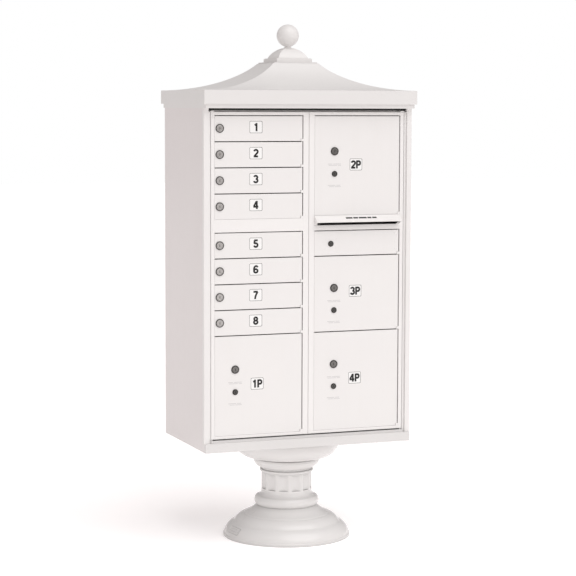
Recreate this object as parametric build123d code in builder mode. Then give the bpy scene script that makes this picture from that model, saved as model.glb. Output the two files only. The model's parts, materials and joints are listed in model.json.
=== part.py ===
from build123d import *
import math
import os

# Cluster mailbox unit on a round pedestal: eight tenant doors, four parcel lockers and an
# outgoing mail slot, in two master doors, under a pagoda cap with a ball finial.
#
# The origin is on the ground under the middle of the cap, +Z is up and the doors face -Y.
# All sizes are in millimetres.

os.makedirs("parts", exist_ok=True)

# ---------------------------------------------------------------- driving dimensions
# Heights are above the ground.
BOTTOM = 355.4  # underside of the cabinet
SILL_TOP = BOTTOM + 31.8
MASTER_LOW = BOTTOM + 44.5
COLUMN_LOW = BOTTOM + 54.6
PARCEL_TOP = BOTTOM + 403.2
PITCH = 88.9  # one tenant door
MID_LOW = PARCEL_TOP + 4 * PITCH  # rail between the two groups of four doors
MID_TOP = BOTTOM + 803.1
SLOT_ZONE_TOP = BOTTOM + 811.0
COLUMN_TOP = MID_TOP + 4 * PITCH
MASTER_TOP = COLUMN_TOP + 11.0
COLLAR_LOW = BOTTOM + 1182.4
FASCIA_LOW = BOTTOM + 1196.6
FASCIA_TOP = BOTTOM + 1244.3
ROOF_TOP = BOTTOM + 1344.0

# Distances from the middle to each side, and depths from the front to the back.
JAMB_HALF = 387.35  # the unit is 774.7 wide across its jambs
BOX_HALF = 384.0
BOX_REAR = 231.5
JAMB_FRONT = -215.5
FACE = -208.5  # outer face of every door
SILL_FRONT = -225.7
COLLAR_FRONT = -238.4
COLLAR_REAR = 236.4
FASCIA_HALF = 394.5
FASCIA_DEPTH_HALF = 244.5

# The two columns of doors, and the master door frame around each of them.
COLUMN_IN = 21.0
COLUMN_OUT = 346.0
MASTER_IN = 0.75
MASTER_OUT = 359.0
FRAME_THICK = 7.0
FRAME_DEPTH = 18.0
BUTT = 0.1  # half of the hairline joint between two frame bars

SHEET = 2.5
DOOR_THICK = 3.0
DOOR_GAP = 0.6  # below each door and beside its lock edge
TOP_GAP = 3.0  # above each door
HINGE_GAP = 2.6
KNUCKLE = 3.2  # radius of the rolled hinge edge
DOOR_PIN = 1.5
DOOR_BORE = 1.55
MASTER_PIN = 2.5
MASTER_BORE = 2.55
MASTER_AXIS_IN = 3.5  # hinge axis, in from the master door's edge and back from its face
LUG_HIGH = 8.0
LUG_LOW = 1.0

RACK_FRONT = -175.0
RACK_SHEET = 1.5

# Locks: flange radius, body radius and plug radius.
TENANT_LOCK = (14.8, 9.5, 6.5)
KEY_LOCK = (14.2, 9.5, 6.5)
CARRIER_LOCK = (10.0, 7.0, 4.5)
LOCK_DEPTH = 18.0
TENANT_LOCK_INSET = 18.6  # from the lock edge of the column
PARCEL_LOCK_INSET = 74.8
COLLECTION_LOCK_INSET = 62.0
PLATE_WIDTH = 47.0
PLATE_HEIGHT = 41.0

ANCHOR_HALF = 101.6  # the ground anchors stand on a 203.2 square
ANCHOR_BORE = 7.15
CABINET_BOLT_HALF = 88.9
BOLT = 6.0


def slab(x, y, z, mode=Mode.ADD):
    """A block between a low and a high value on each axis."""
    middle = [(low + high) / 2 for low, high in (x, y, z)]
    sides = [high - low for low, high in (x, y, z)]
    with Locations(tuple(middle)):
        Box(*sides, mode=mode)


def upright(x, y, low, high, radius, mode=Mode.ADD):
    """A round bar or hole along Z."""
    with Locations((x, y, (low + high) / 2)):
        Cylinder(radius, high - low, mode=mode)


def forward(x, z, front, back, radius, mode=Mode.ADD):
    """A round bar or hole along Y."""
    with Locations(Location((x, (front + back) / 2, z), (90, 0, 0))):
        Cylinder(radius, back - front, mode=mode)


def save(part, name):
    """Name one finished sub-part and write its file."""
    part.label = name
    export_step(part, f"parts/{name}.step")


# ---------------------------------------------------------------- pedestal
PLATE = 9.5
POST_HALF = 50.8
POST_WALL = 4.8
TOP_PLATE_HALF = 120.0
FLOOR_THICK = 4.0
PLINTH_RADIUS = 228.6
COLUMN_RADIUS = 90.2
FLUTES = 12
FLUTE_TURN = 2.0  # direction of the first flute, in degrees off the X axis
FLUTE_DEPTH = 6.0
FLUTE_RADIUS = 40.0
FLUTE_LOW = 171.0
FLUTE_HIGH = 228.0
SEAM_TURN = 8.0  # the seam between the cover's halves, in degrees off the X axis
SEAM = 0.15


def pedestal_base_plate():
    with BuildPart() as plate:
        slab((-127, 127), (-127, 127), (0, PLATE))
        fillet(plate.edges().filter_by(Axis.Z), 12)
        with GridLocations(2 * ANCHOR_HALF, 2 * ANCHOR_HALF, 2, 2):
            Hole(ANCHOR_BORE)
    save(plate.part, "pedestal_base_plate")


def pedestal_post():
    with BuildPart() as post:
        with BuildSketch(Plane.XY.offset(PLATE)):
            RectangleRounded(2 * POST_HALF, 2 * POST_HALF, 8)
            inner = POST_HALF - POST_WALL
            RectangleRounded(2 * inner, 2 * inner, 4, mode=Mode.SUBTRACT)
        extrude(amount=BOTTOM - 2 * PLATE)
    save(post.part, "pedestal_post")


def pedestal_top_plate():
    with BuildPart() as plate:
        half = TOP_PLATE_HALF
        slab((-half, half), (-half, half), (BOTTOM - PLATE, BOTTOM))
        fillet(plate.edges().filter_by(Axis.Z), 12)
        for x in (-CABINET_BOLT_HALF, CABINET_BOLT_HALF):
            for y in (-CABINET_BOLT_HALF, CABINET_BOLT_HALF):
                upright(x, y, BOTTOM - PLATE, BOTTOM, BOLT + 0.6, mode=Mode.SUBTRACT)
    save(plate.part, "pedestal_top_plate")


def pedestal_bolts():
    """Four hexagon bolts with washers and nuts, from the cabinet floor into the pedestal."""
    head_low = BOTTOM + FLOOR_THICK + 2.2
    nut_high = BOTTOM - PLATE - 0.1
    with BuildPart() as bolts:
        for x in (-CABINET_BOLT_HALF, CABINET_BOLT_HALF):
            for y in (-CABINET_BOLT_HALF, CABINET_BOLT_HALF):
                upright(x, y, nut_high - 16, head_low + 2, BOLT)
                upright(x, y, BOTTOM + FLOOR_THICK + 0.1, head_low, 12)
                with BuildSketch(Plane.XY.offset(head_low)):
                    with Locations((x, y)):
                        RegularPolygon(10.4, 6)
                extrude(amount=7.5)
                with BuildSketch(Plane.XY.offset(nut_high - 10)):
                    with Locations((x, y)):
                        RegularPolygon(10.4, 6)
                extrude(amount=10)
    save(bolts.part, "pedestal_bolts")


def cover_outline():
    """Half section of the pedestal cover: the moulded outside going up, then the inside going down."""
    with BuildSketch(Plane.XZ) as section:
        with BuildLine():
            Polyline((PLINTH_RADIUS - 5, 0), (PLINTH_RADIUS, 0), (PLINTH_RADIUS, 8.5), (226, 11))
            ThreePointArc((226, 11), (215.5, 34.5), (194, 51))
            Line((194, 51), (190, 54))
            ThreePointArc((190, 54), (174, 71), (154, 80.5))
            Line((154, 80.5), (150.5, 83.5))
            ThreePointArc((150.5, 83.5), (128, 95), (109, 111.5))
            ThreePointArc((109, 111.5), (116.5, 128.5), (110, 144))
            Line((110, 144), (104.5, 146))
            ThreePointArc((104.5, 146), (94.5, 152.5), (91, 163))
            Polyline((91, 163), (COLUMN_RADIUS, 165), (COLUMN_RADIUS, 233))
            ThreePointArc((COLUMN_RADIUS, 233), (96.5, 238), (91.5, 243))
            Polyline((91.5, 243), (92.5, 245), (94, 248))
            ThreePointArc((94, 248), (110.5, 259), (118.4, 273))
            Polyline((118.4, 273), (118.4, 281), (113.5, 283.5), (113.5, 285.5), (121, 288))
            ThreePointArc((121, 288), (174, 307), (190, BOTTOM - 0.2))
            Line((190, BOTTOM - 0.2), (184.5, BOTTOM - 0.2))
            ThreePointArc((184.5, BOTTOM - 0.2), (169, 312), (117, 294))
            Polyline((117, 294), (108, 292), (108, 280.5), (111.5, 277), (111.5, 274), (104, 264.5))
            Polyline((104, 264.5), (88, 255), (80, 248), (80, 168), (84, 163), (88, 154), (103.5, 141))
            Polyline((103.5, 141), (109.5, 128.5), (102.5, 115), (102.5, 107), (122, 92.5), (146, 79))
            Polyline((146, 79), (149, 76.5), (168, 66.5), (185.5, 50.5), (190, 47), (209.5, 31.5))
            Polyline((209.5, 31.5), (220, 9), (PLINTH_RADIUS - 5, 0))
        make_face()
    return section.sketch


def clip_plane(side):
    """The plane of a joint clip, on the sloping plinth, on the left or on the right seam."""
    turn = math.radians(SEAM_TURN)
    across = Vector(side * math.cos(turn), side * math.sin(turn), 0)
    lean = math.radians(39)
    outward = across * math.cos(lean) + Vector(0, 0, math.sin(lean))
    along = Vector(0, 0, 1).cross(across)
    middle = across * 214.6 + Vector(0, 0, 34)
    return Plane(origin=middle, x_dir=along, z_dir=outward)


CLIP_LONG = 72.0
CLIP_WIDE = 25.0


def pedestal_covers():
    """The cast cover round the post, in a front and a rear half."""
    turn = math.radians(SEAM_TURN)
    seam = Plane(
        origin=(0, 0, 0),
        x_dir=(math.cos(turn), math.sin(turn), 0),
        z_dir=(-math.sin(turn), math.cos(turn), 0),
    )
    for name, keep, shift in (
        ("pedestal_cover_rear", Keep.TOP, SEAM),
        ("pedestal_cover_front", Keep.BOTTOM, -SEAM),
    ):
        with BuildPart() as cover:
            add(cover_outline())
            revolve(axis=Axis.Z)
            with PolarLocations(COLUMN_RADIUS + FLUTE_RADIUS - FLUTE_DEPTH, FLUTES, start_angle=FLUTE_TURN):
                with Locations((0, 0, (FLUTE_LOW + FLUTE_HIGH) / 2)):
                    Cylinder(FLUTE_RADIUS, FLUTE_HIGH - FLUTE_LOW, mode=Mode.SUBTRACT)
            for side in (-1, 1):
                with BuildSketch(clip_plane(side).offset(-3)):
                    RectangleRounded(CLIP_LONG + 2, CLIP_WIDE + 2, 5)
                extrude(amount=12, mode=Mode.SUBTRACT)
            split(bisect_by=seam.offset(shift), keep=keep)
        save(cover.part, name)


def pedestal_cover_clips():
    """A clip with two screws over each seam, let into the plinth."""
    with BuildPart() as clips:
        for side in (-1, 1):
            face = clip_plane(side)
            with BuildSketch(face.offset(-2.8)):
                RectangleRounded(CLIP_LONG, CLIP_WIDE, 4)
            extrude(amount=2.0)
            with BuildSketch(face.offset(-1.6)):
                with GridLocations(0, 9.5, 1, 2):
                    SlotOverall(36, 4.5)
            extrude(amount=2.0, mode=Mode.SUBTRACT)
            with BuildSketch(face.offset(-0.8)):
                with GridLocations(54, 0, 2, 1):
                    Circle(3.6)
            extrude(amount=1.2)
    save(clips.part, "pedestal_cover_clips")


# ---------------------------------------------------------------- cabinet
def side_panels():
    for side, name in ((-1, "left_side_panel"), (1, "right_side_panel")):
        outer = side * BOX_HALF
        inner = side * (BOX_HALF - SHEET)
        with BuildPart() as panel:
            slab(sorted((outer, inner)), (JAMB_FRONT + 3, BOX_REAR), (BOTTOM, FASCIA_LOW))
        save(panel.part, name)


def back_panel():
    half = BOX_HALF - SHEET
    with BuildPart() as panel:
        slab((-half, half), (BOX_REAR - SHEET, BOX_REAR), (BOTTOM, FASCIA_LOW))
    save(panel.part, "back_panel")


def top_panel():
    half = BOX_HALF - SHEET
    with BuildPart() as panel:
        slab((-half, half), (JAMB_FRONT + 22, BOX_REAR - SHEET), (FASCIA_LOW - SHEET, FASCIA_LOW))
    save(panel.part, "top_panel")


def floor_panel():
    half = BOX_HALF - SHEET
    with BuildPart() as panel:
        slab((-half, half), (-190, BOX_REAR - SHEET), (BOTTOM, BOTTOM + FLOOR_THICK))
        for x in (-CABINET_BOLT_HALF, CABINET_BOLT_HALF):
            for y in (-CABINET_BOLT_HALF, CABINET_BOLT_HALF):
                upright(x, y, BOTTOM, BOTTOM + FLOOR_THICK, BOLT + 0.6, mode=Mode.SUBTRACT)
    save(panel.part, "floor_panel")


JAMB_FACE = 18.0
JAMB_IN = JAMB_HALF - JAMB_FACE
STRIP_OUT = JAMB_IN - 3.0
STRIP_IN = MASTER_OUT + 1.8
LIP_IN = 353.0  # edge of the lip behind the master door that blocks the light


def door_jambs():
    """Corner extrusion at each side: a broad face, a groove, a strip level with the doors and a lip."""
    back = FACE + 13
    for side, name in ((-1, "left_jamb"), (1, "right_jamb")):
        with BuildPart() as jamb:
            with BuildSketch(Plane.XY.offset(SILL_TOP)) as section:
                with BuildLine():
                    Polyline(
                        (JAMB_HALF, JAMB_FRONT),
                        (JAMB_HALF, JAMB_FRONT + 12),
                        (BOX_HALF, JAMB_FRONT + 12),
                        (BOX_HALF, JAMB_FRONT + 3),
                        (JAMB_IN + 3, JAMB_FRONT + 3),
                        (JAMB_IN + 3, back),
                        (LIP_IN, back),
                        (LIP_IN, back - 2.5),
                        (STRIP_IN, back - 2.5),
                        (STRIP_IN, FACE),
                        (STRIP_OUT, FACE),
                        (STRIP_OUT, back - 3),
                        (JAMB_IN, back - 3),
                        (JAMB_IN, JAMB_FRONT),
                        close=True,
                    )
                make_face()
                corner = section.vertices().sort_by(Axis.X)[-2:].sort_by(Axis.Y)[0]
                fillet(corner, 2.2)
                if side < 0:
                    mirror(about=Plane.YZ, mode=Mode.REPLACE)
            extrude(amount=COLLAR_LOW - SILL_TOP)
            header = sorted((side * (LIP_IN - 1), side * JAMB_IN))
            slab(header, (FACE - 1, back + 1), (MASTER_TOP + 0.5, COLLAR_LOW + 1), mode=Mode.SUBTRACT)
            foot = sorted((side * (LIP_IN - 1), side * STRIP_IN))
            slab(foot, (back - 4, back + 1), (SILL_TOP - 1, MASTER_LOW), mode=Mode.SUBTRACT)
        save(jamb.part, name)


def sill_panel():
    """Bottom panel under the doors, with a set-back lip between the jambs that carries the hinges."""
    hidden = -191.0
    with BuildPart() as sill:
        slab((-BOX_HALF, BOX_HALF), (SILL_FRONT, hidden), (BOTTOM, SILL_TOP))
        fillet(sill.edges().filter_by(Axis.X).sort_by(Axis.Y)[:2], 1.6)
        slab(
            (-BOX_HALF + 3, BOX_HALF - 3),
            (SILL_FRONT + 3, hidden + 1),
            (BOTTOM + 3, SILL_TOP - 3),
            mode=Mode.SUBTRACT,
        )
        for side in (-1, 1):
            edge = sorted((side * (BOX_HALF - 3), side * (BOX_HALF + 1)))
            slab(edge, (JAMB_FRONT + 3, hidden + 1), (BOTTOM - 1, SILL_TOP), mode=Mode.SUBTRACT)
        lip = STRIP_IN - 0.3
        slab((-lip, lip), (JAMB_FRONT, hidden), (SILL_TOP, SILL_TOP + 8.2))
        channel = (SILL_TOP - 4, SILL_TOP + 5.2)
        slab((-lip + 3, lip - 3), (JAMB_FRONT + 3, hidden + 1), channel, mode=Mode.SUBTRACT)
        for side in (-1, 1):
            x = side * (MASTER_OUT - MASTER_AXIS_IN)
            upright(x, FACE + MASTER_AXIS_IN, SILL_TOP + 4, SILL_TOP + 10, MASTER_BORE, mode=Mode.SUBTRACT)
    save(sill.part, "sill_panel")


HEADER_FRONT = -196.0


def header_rail():
    """Rail above the master doors, with a hinge block at each end."""
    low = MASTER_TOP + 1.5
    half = JAMB_IN - 0.3
    with BuildPart() as rail:
        slab((-half, half), (HEADER_FRONT, HEADER_FRONT + 3), (low, FASCIA_LOW - SHEET))
        slab((-half, half), (HEADER_FRONT, HEADER_FRONT + 18), (low, low + 3))
        for side in (-1, 1):
            block = sorted((side * (COLUMN_OUT + 1), side * (STRIP_IN - 0.2)))
            slab(block, (FACE, HEADER_FRONT + 1), (MASTER_TOP + 1, MASTER_TOP + 4))
            x = side * (MASTER_OUT - MASTER_AXIS_IN)
            upright(x, FACE + MASTER_AXIS_IN, MASTER_TOP, MASTER_TOP + 8, MASTER_BORE, mode=Mode.SUBTRACT)
    save(rail.part, "header_rail")


def header_gasket():
    """Rubber weather strip across the header, above the master doors."""
    half = 368.0
    with BuildPart() as gasket:
        slab((-half, half), (HEADER_FRONT - 2.5, HEADER_FRONT), (MASTER_TOP + 5.5, MASTER_TOP + 12))
        with Locations(Location((0, HEADER_FRONT - 4, MASTER_TOP + 8.7), (0, 90, 0))):
            Cylinder(3.2, 2 * half)
            Cylinder(1.9, 2 * half, mode=Mode.SUBTRACT)
    save(gasket.part, "header_gasket")


def compartment_racks():
    """Folded-sheet compartments behind each column of doors, open at the front."""
    lower = [PARCEL_TOP + step * PITCH for step in range(5)]
    upper = [MID_TOP + step * PITCH for step in range(5)]
    floors = {
        "left_compartment_rack": [COLUMN_LOW] + lower + upper,
        "right_compartment_rack": [COLUMN_LOW, lower[0], lower[3], SLOT_ZONE_TOP, COLUMN_TOP],
    }
    half = RACK_SHEET / 2
    deep = (RACK_FRONT, BOX_REAR - SHEET - 1)
    tall = (COLUMN_LOW - 6, COLUMN_TOP + 6)
    inner = COLUMN_IN - 3.5
    outer = COLUMN_OUT + 4.5
    for side, (name, heights) in zip((-1, 1), floors.items()):
        with BuildPart() as rack:
            slab(sorted((side * inner, side * (inner - RACK_SHEET))), deep, tall)
            slab(sorted((side * outer, side * (outer + RACK_SHEET))), deep, tall)
            shelf = sorted((side * (inner + 0.1), side * (outer - 0.1)))
            for height in heights:
                slab(shelf, deep, (height - half, height + half))
            post = sorted((side * 0.8, side * (inner - RACK_SHEET - 0.1)))
            slab(post, (RACK_FRONT, RACK_FRONT + 3), tall)
            if side > 0:
                for height in KEEPERS:
                    slab((1, 9), (RACK_FRONT - 7, RACK_FRONT - 5.5), (height, height + 14))
                    slab((1, 9), (RACK_FRONT - 7, RACK_FRONT - 0.1), (height + 14.1, height + 16))
        save(rack.part, name)


# ---------------------------------------------------------------- cap
def cap_collar():
    """Flat band round the top of the cabinet, with a soffit that closes its underside."""
    wall = 3.0
    with BuildPart() as collar:
        slab((-JAMB_HALF, JAMB_HALF), (COLLAR_FRONT, COLLAR_REAR), (COLLAR_LOW, FASCIA_LOW))
        fillet(collar.edges().filter_by(Axis.Z), 1.5)
        slab(
            (-JAMB_HALF + wall, JAMB_HALF - wall),
            (COLLAR_FRONT + wall, COLLAR_REAR - wall),
            (COLLAR_LOW + 2, FASCIA_LOW + 1),
            mode=Mode.SUBTRACT,
        )
        slab(
            (-BOX_HALF - 0.2, BOX_HALF + 0.2),
            (JAMB_FRONT + 14, BOX_REAR + 0.2),
            (COLLAR_LOW - 1, COLLAR_LOW + 3),
            mode=Mode.SUBTRACT,
        )
        slab(
            (-BOX_HALF - 0.2, BOX_HALF + 0.2),
            (JAMB_FRONT + 2.8, BOX_REAR + 0.2),
            (COLLAR_LOW + 2, COLLAR_LOW + 3),
            mode=Mode.SUBTRACT,
        )
        for side in (-1, 1):
            edge = sorted((side * (BOX_HALF - SHEET - 0.2), side * (BOX_HALF + 0.2)))
            slot = (COLLAR_LOW - 1, COLLAR_LOW + 3)
            slab(edge, (JAMB_FRONT + 2.8, JAMB_FRONT + 15), slot, mode=Mode.SUBTRACT)
    save(collar.part, "cap_collar")


def cap_fascia():
    """Deep vertical band round the eaves, returned inwards at its foot and its top."""
    wall = 3.0
    half = FASCIA_HALF
    deep = FASCIA_DEPTH_HALF
    with BuildPart() as fascia:
        slab((-half, half), (-deep, deep), (FASCIA_LOW, FASCIA_TOP))
        fillet(fascia.edges().filter_by(Axis.Z), 1.5)
        slab(
            (wall - half, half - wall),
            (wall - deep, deep - wall),
            (FASCIA_LOW + wall, FASCIA_TOP + 1),
            mode=Mode.SUBTRACT,
        )
        slab((20 - half, half - 20), (20 - deep, deep - 20), (FASCIA_LOW - 1, FASCIA_TOP), mode=Mode.SUBTRACT)
    save(fascia.part, "cap_fascia")


NECK_HALF = 80.8


def roof_form(outset, base, top):
    """Four concave slopes from the eaves up to a square neck, as one solid."""
    rise = top - base
    forms = []
    for plane, half, reach in (
        (Plane.XZ, FASCIA_HALF + outset, FASCIA_DEPTH_HALF),
        (Plane.YZ, FASCIA_DEPTH_HALF + outset, FASCIA_HALF),
    ):
        neck = NECK_HALF + outset
        run = half - neck
        with BuildPart(mode=Mode.PRIVATE) as form:
            with BuildSketch(plane):
                with BuildLine():
                    for side in (-1, 1):
                        Bezier(
                            (side * neck, top),
                            (side * (neck + 0.12 * run), base + 0.62 * rise),
                            (side * (neck + 0.45 * run), base + 0.03 * rise),
                            (side * half, base),
                        )
                    Line((-neck, top), (neck, top))
                    Line((-half, base), (half, base))
                make_face()
            extrude(amount=reach + 10, both=True)
        forms.append(form.part)
    return forms[0] & forms[1]


def cap_roof():
    """Roof of four slopes, mitred along the hips, round a flat neck plate."""
    outer = roof_form(0, FASCIA_TOP, ROOF_TOP)
    inner = roof_form(-4.0, FASCIA_TOP - 4, ROOF_TOP - 4)
    run = Vector(FASCIA_HALF - NECK_HALF, FASCIA_DEPTH_HALF - NECK_HALF, 0)
    middle = Vector(NECK_HALF, NECK_HALF, 0) + run * 0.475
    with BuildPart() as roof:
        add(outer)
        add(inner, mode=Mode.SUBTRACT)
        half = (-FASCIA_HALF, FASCIA_HALF)
        deep = (-FASCIA_DEPTH_HALF, FASCIA_DEPTH_HALF)
        slab(half, deep, (FASCIA_TOP - 20, FASCIA_TOP), mode=Mode.SUBTRACT)
        slab(half, deep, (ROOF_TOP - 4 - 2 * BUTT, ROOF_TOP + 1), mode=Mode.SUBTRACT)
        for x in (-1, 1):
            for y in (-1, 1):
                turn = math.degrees(math.atan2(y * run.Y, x * run.X))
                with BuildSketch(Plane.XY.offset(FASCIA_TOP - 1)):
                    with Locations(Location((x * middle.X, y * middle.Y, 0), (0, 0, turn))):
                        Rectangle(run.length * 1.15, 2 * BUTT)
                extrude(amount=ROOF_TOP - FASCIA_TOP + 2, mode=Mode.SUBTRACT)
        neck = (-NECK_HALF, NECK_HALF)
        slab(neck, neck, (ROOF_TOP - 4, ROOF_TOP))
        upright(0, 0, ROOF_TOP - 20, ROOF_TOP + 5, 8, mode=Mode.SUBTRACT)
    save(roof.part, "cap_roof")


def cap_crown():
    """Square stepped crown with four rounded slopes."""
    low = ROOF_TOP
    with BuildPart() as crown:
        with BuildSketch(Plane.XY.offset(low)):
            RectangleRounded(134, 134, 2.5)
        extrude(amount=12)
        with BuildSketch(Plane.XY.offset(low + 12)):
            RectangleRounded(128, 128, 2)
        extrude(amount=2)
        dome = []
        for plane in (Plane.XZ, Plane.YZ):
            with BuildPart(mode=Mode.PRIVATE) as slope:
                with BuildSketch(plane):
                    with BuildLine():
                        for side in (-1, 1):
                            ThreePointArc((side * 56, low + 14), (side * 40, low + 36), (side * 15, low + 50))
                        Line((-15, low + 50), (15, low + 50))
                        Line((-56, low + 14), (56, low + 14))
                    make_face()
                extrude(amount=60, both=True)
            dome.append(slope.part)
        add(dome[0] & dome[1])
        upright(0, 0, low - 5, low + 60, 8, mode=Mode.SUBTRACT)
    save(crown.part, "cap_crown")


def finial():
    """Ball on a waisted stem, with the stud that holds it to the cap."""
    foot = ROOF_TOP + 50
    middle = BOTTOM + 1438.4
    with BuildPart() as ball:
        with Locations((0, 0, middle)):
            Sphere(39.5)
        with BuildSketch(Plane.XZ):
            with BuildLine():
                Polyline((0, foot + 14), (0, foot), (14.5, foot), (14.5, foot + 1.5))
                ThreePointArc((14.5, foot + 1.5), (11.5, foot + 4), (13.5, foot + 9))
                Line((13.5, foot + 9), (0, foot + 14))
            make_face()
        revolve(axis=Axis.Z)
        upright(0, 0, ROOF_TOP - 18, foot + 1, 7.9)
    save(ball.part, "finial")


# ---------------------------------------------------------------- master doors
KEEPERS = (BOTTOM + 600, BOTTOM + 730)
MASTER_AXIS = MASTER_OUT - MASTER_AXIS_IN


def hinge_lug(stile, height, rail_below):
    """Lug on the hinge stile, with the bore that takes the pins of the doors above and below."""
    axis = stile - HINGE_GAP - KNUCKLE
    low = height + BUTT if rail_below else height - LUG_LOW
    high = height + LUG_HIGH
    slab((axis, stile), (FACE + 0.3, FACE + 2 * KNUCKLE), (low, high))
    upright(axis, FACE + KNUCKLE, low, high, KNUCKLE - 0.1)
    upright(axis, FACE + KNUCKLE, low - 1, high + 1, DOOR_BORE, mode=Mode.SUBTRACT)


def master_door(side, name, rails, lug_heights):
    """Welded door frame: two stiles and its rails, with a hinge lug under each small door."""
    hinge_stile = -COLUMN_IN if side < 0 else COLUMN_OUT
    inner = sorted((side * MASTER_IN, side * COLUMN_IN))
    outer = sorted((side * COLUMN_OUT, side * MASTER_OUT))
    web = sorted((side * COLUMN_OUT, side * (COLUMN_OUT + 3.5)))
    span = sorted((side * (COLUMN_IN + BUTT), side * (COLUMN_OUT - BUTT)))
    tall = (MASTER_LOW, MASTER_TOP)
    back = FACE + FRAME_THICK
    with BuildPart() as frame:
        slab(inner, (FACE, FACE + FRAME_DEPTH), tall)
        slab(outer, (FACE, back), tall)
        slab(web, (back, FACE + FRAME_DEPTH), tall)
        for low, high in rails:
            slab(span, (FACE, back), (low, high))
        rail_tops = [high for low, high in rails]
        if side > 0:
            rail_tops.append(SLOT_ZONE_TOP)
            slab(span, (FACE, back), (SLOT_HIGH, SLOT_ZONE_TOP))
            ends = (SLOT_LOW + BUTT, SLOT_HIGH - BUTT)
            slab((COLUMN_IN + BUTT, SLOT_LEFT), (FACE, back), ends)
            slab((SLOT_RIGHT, COLUMN_OUT - BUTT), (FACE, back), ends)
        for height in lug_heights:
            hinge_lug(hinge_stile, height, height in rail_tops)
        bore = hinge_stile - HINGE_GAP - KNUCKLE
        for height in (MID_LOW, COLUMN_TOP):
            upright(bore, FACE + KNUCKLE, height - 0.5, height + 6, DOOR_BORE, mode=Mode.SUBTRACT)
        if side > 0:
            rear = FACE + FRAME_DEPTH + 0.1
            for height in (LATCH_LOW + 50, LATCH_HIGH - 60):
                slab((0.8, 1.6), (rear, rear + 5), (height, height + 10))
                slab((9.4, 10.2), (rear, rear + 5), (height, height + 10))
                slab((0.8, 10.2), (rear + 5.1, rear + 6.4), (height, height + 10))
        pin = side * MASTER_AXIS
        upright(pin, FACE + MASTER_AXIS_IN, MASTER_LOW - 7, MASTER_LOW + 8, MASTER_PIN)
        upright(pin, FACE + MASTER_AXIS_IN, MASTER_TOP - 8, MASTER_TOP + 3.5, MASTER_PIN)
    save(frame.part, name)


SLOT_LOW = BOTTOM + 778.0
SLOT_HIGH = BOTTOM + 792.0
SLOT_LEFT = 34.0
SLOT_RIGHT = 333.0
HOOD_REACH = 25.0
HOOD_RIGHT = 343.0
HOOD_LIP = BOTTOM + 787.0
HOOD_TOP = BOTTOM + 809.5
LATCH_LOW = BOTTOM + 560
LATCH_HIGH = BOTTOM + 800


def mail_slot_hood():
    """Sloping sheet hood over the outgoing mail slot, with a cheek at each end."""
    sheet = 2.0
    with BuildPart() as hood:
        with BuildSketch(Plane.YZ.offset(COLUMN_IN + 0.5)):
            with BuildLine():
                Polyline(
                    (FACE - 0.05, HOOD_TOP),
                    (FACE - sheet, HOOD_TOP),
                    (FACE - HOOD_REACH, HOOD_LIP + 3.5),
                    (FACE - HOOD_REACH, HOOD_LIP),
                    (FACE - HOOD_REACH + sheet, HOOD_LIP),
                    (FACE - HOOD_REACH + sheet, HOOD_LIP + 2.5),
                    (FACE - sheet, HOOD_TOP - 4.5),
                    (FACE - 0.05, HOOD_TOP - 4.5),
                    close=True,
                )
            make_face()
        extrude(amount=HOOD_RIGHT - COLUMN_IN - 0.5)
        for x in (COLUMN_IN + 0.5, HOOD_RIGHT - sheet):
            with BuildSketch(Plane.YZ.offset(x)):
                with BuildLine():
                    Polyline(
                        (FACE - 0.05, HOOD_TOP),
                        (FACE - sheet, HOOD_TOP),
                        (FACE - HOOD_REACH, HOOD_LIP + 3.5),
                        (FACE - HOOD_REACH, HOOD_LIP),
                        (FACE - 0.05, SLOT_LOW - 1.5),
                        close=True,
                    )
                make_face()
            extrude(amount=sheet)
    save(hood.part, "mail_slot_hood")


def mail_slot_liner():
    """Black liner under the hood: two cheeks, a top and a sill round the slot."""
    x_low = SLOT_LEFT - 1
    x_high = SLOT_RIGHT - 1
    with BuildPart() as liner:
        with BuildSketch(Plane.YZ.offset(x_low)):
            with BuildLine():
                Polyline(
                    (FACE - 0.1, HOOD_TOP - 5.2),
                    (FACE - 2.6, HOOD_TOP - 5.2),
                    (FACE - HOOD_REACH + 3, HOOD_LIP + 1.2),
                    (FACE - HOOD_REACH + 3, HOOD_LIP - 0.5),
                    (FACE - 0.1, SLOT_LOW - 1.5),
                    close=True,
                )
            make_face()
        extrude(amount=x_high - x_low)
        with BuildSketch(Plane.YZ.offset(x_low + 3)):
            with BuildLine():
                Polyline(
                    (FACE + 1, SLOT_HIGH),
                    (FACE - HOOD_REACH + 2, SLOT_HIGH - 4.0),
                    (FACE - HOOD_REACH + 2, HOOD_LIP - 8),
                    (FACE - 12, SLOT_LOW),
                    (FACE + 1, SLOT_LOW),
                    close=True,
                )
            make_face()
        extrude(amount=x_high - x_low - 6, mode=Mode.SUBTRACT)
    save(liner.part, "mail_slot_liner")


def master_latch_bar():
    """Sliding bar behind the right master door; its hooks go up behind keepers on the rack."""
    back = FACE + FRAME_DEPTH
    with BuildPart() as bar:
        slab((2, 9), (back + 0.8, back + 3.8), (LATCH_LOW, LATCH_HIGH))
        for height in KEEPERS:
            slab((2, 6.5), (back + 3.8, back + 13.2), (height - 22, height - 18))
            slab((2, 6.5), (back + 10.4, back + 13.2), (height - 18, height - 2))
        slab((9, 32), (back + 0.8, back + 3.8), (BOTTOM + 716, BOTTOM + 728))
    save(bar.part, "master_latch_bar")


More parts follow.
